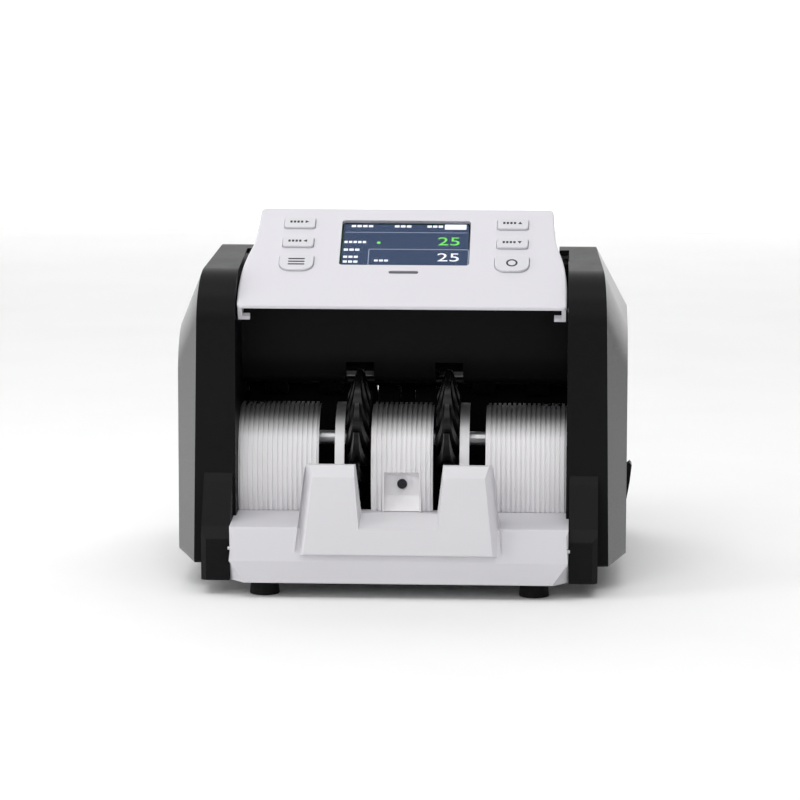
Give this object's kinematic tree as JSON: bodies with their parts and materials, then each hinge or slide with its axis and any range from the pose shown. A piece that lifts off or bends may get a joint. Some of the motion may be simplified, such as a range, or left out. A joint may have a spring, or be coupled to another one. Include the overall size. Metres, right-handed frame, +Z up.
{
  "type": "banknote counting machine",
  "caption": "Desktop banknote counter: slanted keypad head, rear hopper, ribbed front stacker with finger wheels and note stop.",
  "frame": {"origin": "middle of the base of the overall box, on the surface the feet stand on", "axes": "+X to the right seen from the front, +Y to the rear, +Z up"},
  "size_m": [0.2594, 0.246, 0.2088],
  "materials": {
    "white_plastic": "satin white moulding",
    "black_plastic": "fine-grained black moulding",
    "graphite_cover": "satin graphite lacquer",
    "rubber": "matt rubber",
    "steel": "plain steel",
    "screen_glass": "glossy lens",
    "display": "lit display",
    "board": "lacquered board"
  },
  "bodies": {
    "chassis": {"base_pan": "steel", "circuit_boards": "board", "display_module": "display", "drive_belts": "rubber", "feed_bridge": "black_plastic", "front_cheeks": "black_plastic", "front_panel": "black_plastic", "guide_strips": "white_plastic", "head_base": "black_plastic", "head_shell": "white_plastic", "hopper_floor": "black_plastic", "inner_shield": "black_plastic", "keypad_board": "board", "main_motor": "steel", "mains_inlet": "black_plastic", "note_stop": "white_plastic", "plate_rail": "black_plastic", "rear_sill": "black_plastic", "retard_holder": "black_plastic", "rocker_bezel": "black_plastic", "rubber_feet": "rubber", "screen_lens": "screen_glass", "screws": "steel", "shaft_bushes": "steel", "side_cover_left": "graphite_cover", "side_cover_right": "graphite_cover", "side_frames": "steel", "side_housing_left": "black_plastic", "side_housing_right": "black_plastic", "stack_sensor": "display", "stacker_motor": "steel", "stacker_plate_left": "white_plastic", "stacker_plate_middle": "white_plastic", "stacker_plate_right": "white_plastic", "stacker_tray": "white_plastic", "status_window": "display", "tie_rods": "steel"},
    "feed_roller_set": {"feed_shaft": "steel", "feed_rollers": "rubber", "feed_pulleys": "black_plastic"},
    "pickup_roller_set": {"pickup_shaft": "steel", "pickup_rollers": "rubber"},
    "exit_roller_set": {"exit_shaft": "steel", "exit_rollers": "rubber"},
    "pinch_roller_set": {"pinch_rollers": "rubber"},
    "stacker_wheel_set": {"stacker_shaft": "steel", "stacker_wheels": "black_plastic"},
    "main_motor_rotor": {"main_motor_pulley": "black_plastic"},
    "stacker_motor_rotor": {"stacker_motor_pulley": "black_plastic"},
    "guide_left": {"note_guide_left": "black_plastic"},
    "guide_right": {"note_guide_right": "black_plastic"},
    "gap_knob": {"gap_knob": "black_plastic"},
    "rear_cover": {"rear_cover": "black_plastic"},
    "power_rocker": {"power_rocker": "black_plastic"},
    "key_low_left": {"key_low_left": "white_plastic"},
    "key_low_right": {"key_low_right": "white_plastic"},
    "key_middle_left": {"key_middle_left": "white_plastic"},
    "key_middle_right": {"key_middle_right": "white_plastic"},
    "key_top_left": {"key_top_left": "white_plastic"},
    "key_top_right": {"key_top_right": "white_plastic"}
  },
  "joints": [
    {"name": "feed_spin", "type": "hinge", "parent": "chassis", "child": "feed_roller_set", "pos_m": [-0.00215, 0.01425, 0.095], "axis": [1, 0, 0], "continuous": true},
    {"name": "pickup_spin", "type": "hinge", "parent": "chassis", "child": "pickup_roller_set", "pos_m": [-0.00215, 0.06305, 0.1256], "axis": [1, 0, 0], "continuous": true},
    {"name": "exit_spin", "type": "hinge", "parent": "chassis", "child": "exit_roller_set", "pos_m": [-0.00215, -0.00975, 0.108], "axis": [1, 0, 0], "continuous": true},
    {"name": "pinch_spin", "type": "hinge", "parent": "chassis", "child": "pinch_roller_set", "pos_m": [-0.00215, -0.02124, 0.1181], "axis": [1, 0, 0], "continuous": true},
    {"name": "main_motor_spin", "type": "hinge", "parent": "chassis", "child": "main_motor_rotor", "pos_m": [-0.00215, 0.07425, 0.058], "axis": [1, 0, 0], "continuous": true},
    {"name": "stacker_spin", "type": "hinge", "parent": "chassis", "child": "stacker_wheel_set", "pos_m": [-0.00215, -0.04675, 0.08], "axis": [1, 0, 0], "continuous": true},
    {"name": "stacker_motor_spin", "type": "hinge", "parent": "chassis", "child": "stacker_motor_rotor", "pos_m": [-0.00215, 0.02425, 0.044], "axis": [1, 0, 0], "continuous": true},
    {"name": "guide_left_slide", "type": "slide", "parent": "chassis", "child": "guide_left", "axis": [1, 0, 0], "range_m": [0, 0.038]},
    {"name": "guide_right_slide", "type": "slide", "parent": "chassis", "child": "guide_right", "axis": [-1, 0, 0], "range_m": [0, 0.038]},
    {"name": "gap_knob_turn", "type": "hinge", "parent": "chassis", "child": "gap_knob", "pos_m": [-0.00215, 0.00225, 0.182], "axis": [0, 0, 1], "range_deg": [-180, 180]},
    {"name": "rear_cover_hinge", "type": "hinge", "parent": "chassis", "child": "rear_cover", "pos_m": [-0.00215, 0.11449, 0.0585], "axis": [-1, 0, 0], "range_deg": [0, 75]},
    {"name": "power_rocker_tilt", "type": "hinge", "parent": "chassis", "child": "power_rocker", "pos_m": [0.12145, 0.04325, 0.041], "axis": [0, -1, 0], "range_deg": [0, 14]},
    {"name": "key_low_left_press", "type": "slide", "parent": "chassis", "child": "key_low_left", "axis": [0, 0.5388, -0.8425], "range_m": [0, 0.001], "stiffness_N_per_m": 400},
    {"name": "key_low_right_press", "type": "slide", "parent": "chassis", "child": "key_low_right", "axis": [0, 0.5388, -0.8425], "range_m": [0, 0.001], "stiffness_N_per_m": 400},
    {"name": "key_middle_left_press", "type": "slide", "parent": "chassis", "child": "key_middle_left", "axis": [0, 0.5388, -0.8425], "range_m": [0, 0.001], "stiffness_N_per_m": 400},
    {"name": "key_middle_right_press", "type": "slide", "parent": "chassis", "child": "key_middle_right", "axis": [0, 0.5388, -0.8425], "range_m": [0, 0.001], "stiffness_N_per_m": 400},
    {"name": "key_top_left_press", "type": "slide", "parent": "chassis", "child": "key_top_left", "axis": [0, 0.5388, -0.8425], "range_m": [0, 0.001], "stiffness_N_per_m": 400},
    {"name": "key_top_right_press", "type": "slide", "parent": "chassis", "child": "key_top_right", "axis": [0, 0.5388, -0.8425], "range_m": [0, 0.001], "stiffness_N_per_m": 400}
  ],
  "couplings": [
    {"joint": "pickup_spin", "follows": "feed_spin", "ratio": 1},
    {"joint": "exit_spin", "follows": "feed_spin", "ratio": 1.6667},
    {"joint": "pinch_spin", "follows": "feed_spin", "ratio": -1.9048},
    {"joint": "main_motor_spin", "follows": "feed_spin", "ratio": 2.25},
    {"joint": "stacker_motor_spin", "follows": "stacker_spin", "ratio": 2.6667}
  ]
}
